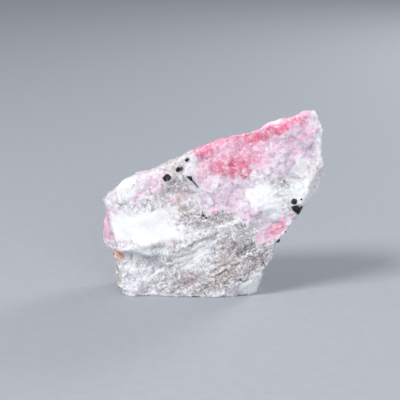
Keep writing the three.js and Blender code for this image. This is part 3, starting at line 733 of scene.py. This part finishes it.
class Shader:
    """Builds a material's nodes: each method adds one or a few and returns their output."""

    def __init__(self, name):
        self.material = bpy.data.materials.new(name)
        self.material.use_nodes = True
        self.tree = self.material.node_tree
        self.surface = self.tree.nodes["Principled BSDF"]
        self.place = self.tree.nodes.new("ShaderNodeTexCoord").outputs["Object"]

    def add(self, kind, inputs, **settings):
        node = self.tree.nodes.new(kind)
        for name, value in settings.items():
            setattr(node, name, value)
        for name, value in inputs.items():
            self.put(node.inputs[name], value)
        return node

    def put(self, socket, value):
        if isinstance(value, bpy.types.NodeSocket):
            self.tree.links.new(value, socket)
        elif socket.type == "RGBA":
            socket.default_value = (*value, 1)
        else:
            socket.default_value = value

    def attribute(self, name):
        return self.add("ShaderNodeAttribute", {}, attribute_name=name).outputs["Fac"]

    def turned(self, turn, scale):
        """The place, turned about Y and then stretched."""
        vector = self.add("ShaderNodeMapping", {"Vector": self.place, "Rotation": (0, turn, 0)}).outputs[0]
        return self.add("ShaderNodeMapping", {"Vector": vector, "Scale": scale}).outputs[0]

    def shaken(self, size, reach):
        """The place moved about by noise, so that cells in it get uneven outlines."""
        inputs = {"Vector": self.place, "Scale": 1 / (size * MM)}
        push = self.add("ShaderNodeTexNoise", inputs).outputs["Color"]
        push = self.vector("SUBTRACT", push, NO_PUSH)
        push = self.vector("MULTIPLY", push, (2 * reach * MM,) * 3)
        return self.vector("ADD", self.place, push)

    def vector(self, operation, a, b):
        return self.add("ShaderNodeVectorMath", {0: a, 1: b}, operation=operation).outputs[0]

    def noise(self, size, detail=3, roughness=0.55, place=None):
        """Noise with features of a size in millimetres."""
        inputs = {"Vector": place or self.place, "Scale": 1 / (size * MM)}
        inputs |= {"Detail": detail, "Roughness": roughness}
        return self.add("ShaderNodeTexNoise", inputs).outputs["Fac"]

    def cells(self, size, ripple, reach):
        """Cells of a size in millimetres with uneven outlines, each with a colour of its own."""
        inputs = {"Vector": self.shaken(ripple, reach), "Scale": 1 / (size * MM)}
        return self.add("ShaderNodeTexVoronoi", inputs).outputs["Color"]

    def number(self, colour, which=0):
        """One of the three numbers in a colour."""
        return self.add("ShaderNodeSeparateColor", {"Color": colour}).outputs[which]

    def span(self, value, low, high, to_low=0.0, to_high=1.0):
        """Maps low to high onto to_low to to_high, and no further."""
        inputs = {"Value": value, "From Min": low, "From Max": high, "To Min": to_low, "To Max": to_high}
        return self.add("ShaderNodeMapRange", inputs, interpolation_type="SMOOTHSTEP").outputs[0]

    def math(self, operation, a, b):
        return self.add("ShaderNodeMath", {0: a, 1: b}, operation=operation).outputs[0]

    def cover(self, name, noise):
        """How much of the rock a colour zone covers, with its rim broken up by a noise."""
        raggedness, low, high, share = COVER[name]
        strength = self.attribute(name)
        offset = self.math("MULTIPLY", self.math("SUBTRACT", noise, 0.5), 2 * raggedness)
        broken_up = self.span(self.math("ADD", strength, offset), low, high)
        inside = self.math("MULTIPLY", broken_up, self.span(strength, 0, RIM))
        return self.math("MULTIPLY", inside, share)

    def mix(self, share, a, b, blend="MIX"):
        node = self.add("ShaderNodeMix", {}, data_type="RGBA", blend_type=blend)
        self.put(node.inputs[0], share)
        self.put(node.inputs[6], a)
        self.put(node.inputs[7], b)
        return node.outputs[2]

    def bump(self, height, depth, strength, under=None):
        inputs = {"Height": height, "Distance": depth * MM, "Strength": strength}
        if under:
            inputs["Normal"] = under
        return self.add("ShaderNodeBump", inputs).outputs[0]

    def tilted(self, colour, amount, normal):
        """A normal tilted at random, by the colour of the grain that it is on."""
        tilt = self.vector("SUBTRACT", colour, NO_PUSH)
        tilt = self.vector("MULTIPLY", tilt, (2 * amount,) * 3)
        return self.vector("NORMALIZE", self.vector("ADD", normal, tilt), (0, 0, 0))

    def finish(self, **inputs):
        for name, value in inputs.items():
            self.put(self.surface.inputs[name.replace("_", " ")], value)
        return self.material


def sugar_and_glints(s, grain, fine_grains):
    """The pale flecks in pink rock, from some of the grains in patches, and painted glints from a few of
    the fine ones.
    """
    flecks_and_glints = s.math("MULTIPLY", s.span(grain, 0.5, 0.8), s.span(s.noise(*BLOTS), 0.48, 0.6))
    # painted glints: a few of the fine grains made pale
    flecks_and_glints = s.math("MAXIMUM", flecks_and_glints, s.span(s.number(fine_grains, 1), 0.88, 0.95))
    return s.math("MULTIPLY", s.span(s.attribute("pink"), 0.1, 0.5, 0, 0.65), flecks_and_glints)


def stone_colour(s, grains, fine_grains):
    """The colour of the rock: pale, with the zones laid over it one after another."""
    grain, fine = s.number(grains), s.number(fine_grains)
    wide, middle, small, soft = s.noise(*WIDE), s.noise(*MIDDLE), s.noise(*SMALL), s.noise(*SOFT)
    colour = s.mix(s.span(wide, *PATCHY), PALE_PINK, PALE)
    colour = s.mix(s.cover("lilac", soft), colour, LILAC)
    colour = s.mix(s.cover("cool", wide), colour, COOL)
    colour = s.mix(s.span(grain, 0.7, 0.95, 0, 0.5), colour, WHITE)
    grit = s.math("ADD", s.math("MULTIPLY", fine, 0.6), s.math("MULTIPLY", small, 0.6))
    greys = s.mix(s.span(grit, 0.3, 0.8), GREY, GREY_LIGHT)
    colour = s.mix(s.cover("grey", middle), colour, greys)
    pinks = s.mix(s.span(soft, *PATCHY), PINK, PINK_LIGHT)
    colour = s.mix(s.cover("pink", soft), colour, pinks)
    colour = s.mix(s.cover("coral", soft), colour, CORAL)
    colour = s.mix(sugar_and_glints(s, grain, fine_grains), colour, FLECK_AND_GLINT)
    return s.mix(s.cover("white", middle), colour, WHITE)


def gritty(s):
    """How much the fine grain shows: less in white, pink and lilac rock, whose crystals are larger."""
    share = s.span(s.attribute("white"), 0.2, 0.9, 0.95, 0.3)
    for name in ("smooth", "pink", "lilac"):
        share = s.math("MULTIPLY", share, s.span(s.attribute(name), 0, 0.5, 1, 0.3))
    return share


def dark_grains(s, grains, fine_grains):
    """How dark a grain is: many of the fine ones in dark zones, and a few in grey rock."""
    in_grey = s.math("MULTIPLY", s.attribute("grey"), 0.08)
    amount = s.math("ADD", s.cover("dark", s.noise(*BLOTS)), in_grey)
    dark = s.span(s.math("SUBTRACT", amount, s.number(fine_grains, 1)), -0.03, 0.06)
    return s.math("MULTIPLY", dark, s.span(s.number(grains, 2), 0, 1, 0.3, 0.75))


def marks_and_painted_light(s, colour, grains, fine_grains):
    """The colour with growth lines, stain, dark grains, a painted highlight on the crest and other ridges,
    and painted shade in hollows.
    """
    lines = s.noise(*LINES, s.turned(GROWTH_RISE, LINE_STRETCH))
    lined = s.attribute("lined")
    colour = s.mix(s.math("MULTIPLY", lined, s.span(lines, 0.52, 0.64, 0, 0.8)), colour, WHITE)
    colour = s.mix(s.math("MULTIPLY", lined, s.span(lines, 0.46, 0.34, 0, 0.4)), colour, GREY)
    blotches = s.noise(*BLOTCHES)
    for zone, tint in (("rose", ROSE), ("stain", STAIN), ("orange", ORANGE)):
        colour = s.mix(s.cover(zone, blotches), colour, tint)
    colour = s.mix(dark_grains(s, grains, fine_grains), colour, DARK)
    # painted highlight: white along the top of the crest ridge
    colour = s.mix(s.cover("crest", blotches), colour, WHITE)
    ridge = s.attribute("ridge")
    # painted highlight: ridges made paler, white on pale rock and light pink on pink rock
    ridge_highlight = s.mix(s.span(s.attribute("pink"), 0.2, 0.7), WHITE, PINK_LIGHT)
    colour = s.mix(s.span(ridge, 0.15, 0.9, 0, 0.5), colour, ridge_highlight)
    # painted shade: the colour darkened in hollows, where less light falls
    hollow = s.mix(s.span(ridge, -0.9, -0.1), HOLLOW_SHADE, UNCHANGED)
    colour = s.mix(1.0, colour, hollow, "MULTIPLY")
    speckle = s.mix(s.number(fine_grains, 2), SPECKLE_DARK, SPECKLE_LIGHT)
    return s.mix(gritty(s), colour, s.mix(1.0, colour, speckle, "MULTIPLY"))


def stone_material():
    s = Shader("tugtupite_rock")
    grains, fine_grains = s.cells(*GRAIN_CELLS), s.cells(*FINE_CELLS)
    normal = s.bump(s.noise(*PITS), 0.12, 0.7)
    rough = s.span(s.attribute("white"), 0.2, 0.9, 1, 0.45)
    rough = s.math("MULTIPLY", rough, s.span(s.attribute("smooth"), 0.2, 0.9, 1, 0.3))
    normal = s.tilted(s.mix(rough, NO_PUSH, grains), GRAIN_TILT, normal)
    normal = s.tilted(s.mix(gritty(s), NO_PUSH, fine_grains), FINE_TILT, normal)
    colour = stone_colour(s, grains, fine_grains)
    return s.finish(
        Base_Color=marks_and_painted_light(s, colour, grains, fine_grains),
        Roughness=s.span(s.number(grains, 1), 0, 1, 0.1, 0.6),
        Normal=normal,
        Subsurface_Weight=0.4,
        Subsurface_Radius=(1.0, 0.75, 0.8),
        Subsurface_Scale=0.8 * MM,
    )


def crystal_material():
    s = Shader("black_crystal")
    tint = s.mix(s.span(s.noise(0.6, 3), 0.45, 0.7), JET, JET_BROWN)
    steps = s.bump(s.noise(0.5, 2, 0.5, s.turned(0.7, (1, 1, 4))), 0.04, 0.4)
    patches = s.cells(*CRYSTAL_CELLS)
    # painted glints: a share of the cells on each crystal tinted lighter
    tint = s.mix(s.span(s.number(patches, 1), 0.78, 0.9), tint, JET_GLINT)
    facets = s.tilted(patches, CRYSTAL_TILT, s.bump(s.noise(0.12, 2), 0.02, 0.3, steps))
    return s.finish(
        Base_Color=tint,
        Roughness=s.span(s.noise(0.35, 3), 0.35, 0.65, 0.12, 0.4),
        Normal=facets,
    )


def floor_material():
    s = Shader("pale_floor")
    tone = s.mix(s.span(s.noise(2.5, 4), 0.35, 0.65), FLOOR_DARK, FLOOR_LIGHT)
    return s.finish(Base_Color=tone, Roughness=0.75)


# Crystals and grains


def drawn(chip, key, seed):
    """Three numbers from 0 to 1 for one chip."""
    return hashed(np.array([[chip, seed, key]]), seed)[0]


def chipped(solid, seed):
    """Cuts flat chips off a bmesh's corners, so that it looks like a crystal that grew against others."""
    points = np.array([v.co for v in solid.verts])
    middle = points.mean(0)
    for chip in range(CRYSTAL_CHIPS):
        direction = drawn(chip, CHIP_FACING, seed) * 2 - 1
        direction /= np.linalg.norm(direction)
        reach = ((points - middle) @ direction).max()
        place = middle + direction * reach * (CHIP_LEAST + CHIP_SPREAD * drawn(chip, CHIP_REACH, seed)[0])
        every = solid.verts[:] + solid.edges[:] + solid.faces[:]
        bmesh.ops.bisect_plane(solid, geom=every, plane_co=place, plane_no=direction, clear_outer=True)
        bmesh.ops.holes_fill(solid, edges=[e for e in solid.edges if e.is_boundary], sides=0)


def crystal_piece(node, material, seed):
    """A black crystal: the CAD solid with chipped corners and rounded edges."""
    solid = welded(node)
    bmesh.ops.dissolve_limit(solid, angle_limit=FLAT, verts=solid.verts, edges=solid.edges)
    chipped(solid, seed)
    mesh = bpy.data.meshes.new(f"grown_{node}")
    solid.to_mesh(mesh)
    piece = new_object(f"grown_{node}", mesh)
    worn = piece.modifiers.new("worn", "BEVEL")
    worn.width = WEAR * MM
    worn.segments = WEAR_STEPS
    worn.limit_method = "ANGLE"
    worn.angle_limit = WORN_ANGLE
    mesh = applied(piece)
    mesh.materials.clear()
    mesh.materials.append(material)
    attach(piece, "root")
    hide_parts(node)


def grain_mesh(width, seed):
    """One small grain with flat faces, about the origin."""
    grain = bmesh.new()
    bmesh.ops.create_icosphere(grain, subdivisions=1, radius=width / 2 * MM)
    for vertex in grain.verts:
        micrometres = [round(co / MM * 1000) for co in vertex.co]
        vertex.co *= GRAIN_LEAST + GRAIN_SPREAD * hashed(np.array([micrometres]), seed)[0, 0]
    return grain


def grain_places(stone, grey):
    """Where the small grains go: those listed for the front, and more strewn over the whole stone."""
    points = array_of(stone.data)
    normals = array_of(stone.data, "normal")
    facing = np.where(normals[:, 1] < TO_THE_FRONT)[0]
    for x, z, width in GRAINS_BY_HAND:
        nearest = facing[np.argmin(np.hypot(points[facing, 0] - x, points[facing, 2] - z))]
        yield points[nearest], width
    picks = np.random.default_rng(STREWN_SEED)
    above = np.where(points[:, 2] > STREWN_ABOVE)[0]
    chance = STREWN_ANYWHERE + grey[above]
    narrow, wide = GRAIN_WIDTHS
    for i in picks.choice(above, GRAINS_STREWN, replace=False, p=chance / chance.sum()):
        yield points[i], narrow + (wide - narrow) * picks.random() ** MOSTLY_SMALL


def grains_piece(stone, material):
    """The small black grains, as one mesh."""
    grey = np.zeros(len(stone.data.vertices), np.float32)
    stone.data.attributes["grey"].data.foreach_get("value", grey)
    joined = bmesh.new()
    for seed, (point, width) in enumerate(grain_places(stone, grey)):
        grain = grain_mesh(width, seed)
        bmesh.ops.translate(grain, verts=grain.verts, vec=Vector(point) * MM)
        part = bpy.data.meshes.new("part")
        grain.to_mesh(part)
        joined.from_mesh(part)
        bpy.data.meshes.remove(part)
    mesh = bpy.data.meshes.new("black_grains")
    joined.to_mesh(mesh)
    mesh.materials.append(material)
    piece = new_object("black_grains", mesh)
    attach(piece, "root")


# Studio


def aimed(thing, place, aim):
    """The camera or lamp at its place, looking at the aim."""
    thing.location = place
    thing.rotation_euler = (Vector(aim) - Vector(place)).to_track_quat("-Z", "Y").to_euler()
    return thing


def camera():
    data = bpy.data.cameras.new("camera")
    data.sensor_width = SENSOR
    data.lens = LENS
    thing = new_object("camera", data)
    away = Vector((0, -math.cos(ELEVATION), math.sin(ELEVATION))) * DISTANCE
    bpy.context.scene.camera = aimed(thing, AIM + away, AIM)


def softbox(name, place, size, power):
    data = bpy.data.lights.new(name, "AREA")
    data.shape = "DISK"
    data.size = size
    data.energy = power
    aimed(new_object(name, data), place, AIM)


def studio():
    scene = bpy.context.scene
    scene.view_settings.view_transform = "Standard"
    scene.world = bpy.data.worlds.new("studio")
    scene.world.use_nodes = True
    sky = scene.world.node_tree.nodes["Background"]
    sky.inputs["Color"].default_value = (*SKY, 1)
    sky.inputs["Strength"].default_value = SKY_STRENGTH
    for name, (place, size, power) in SOFTBOXES.items():
        softbox(name, place, size, power)
    mesh = bpy.data.meshes.new("floor")
    ground = bmesh.new()
    bmesh.ops.create_circle(ground, cap_ends=True, segments=FLOOR_SIDES, radius=FLOOR_RADIUS)
    ground.to_mesh(mesh)
    mesh.materials.append(floor_material())
    new_object("floor", mesh)


camera()
studio()
stone = stone_piece()
black = crystal_material()
for number, node_name in enumerate(crystal_nodes()):
    crystal_piece(node_name, black, number)
grains_piece(stone, black)
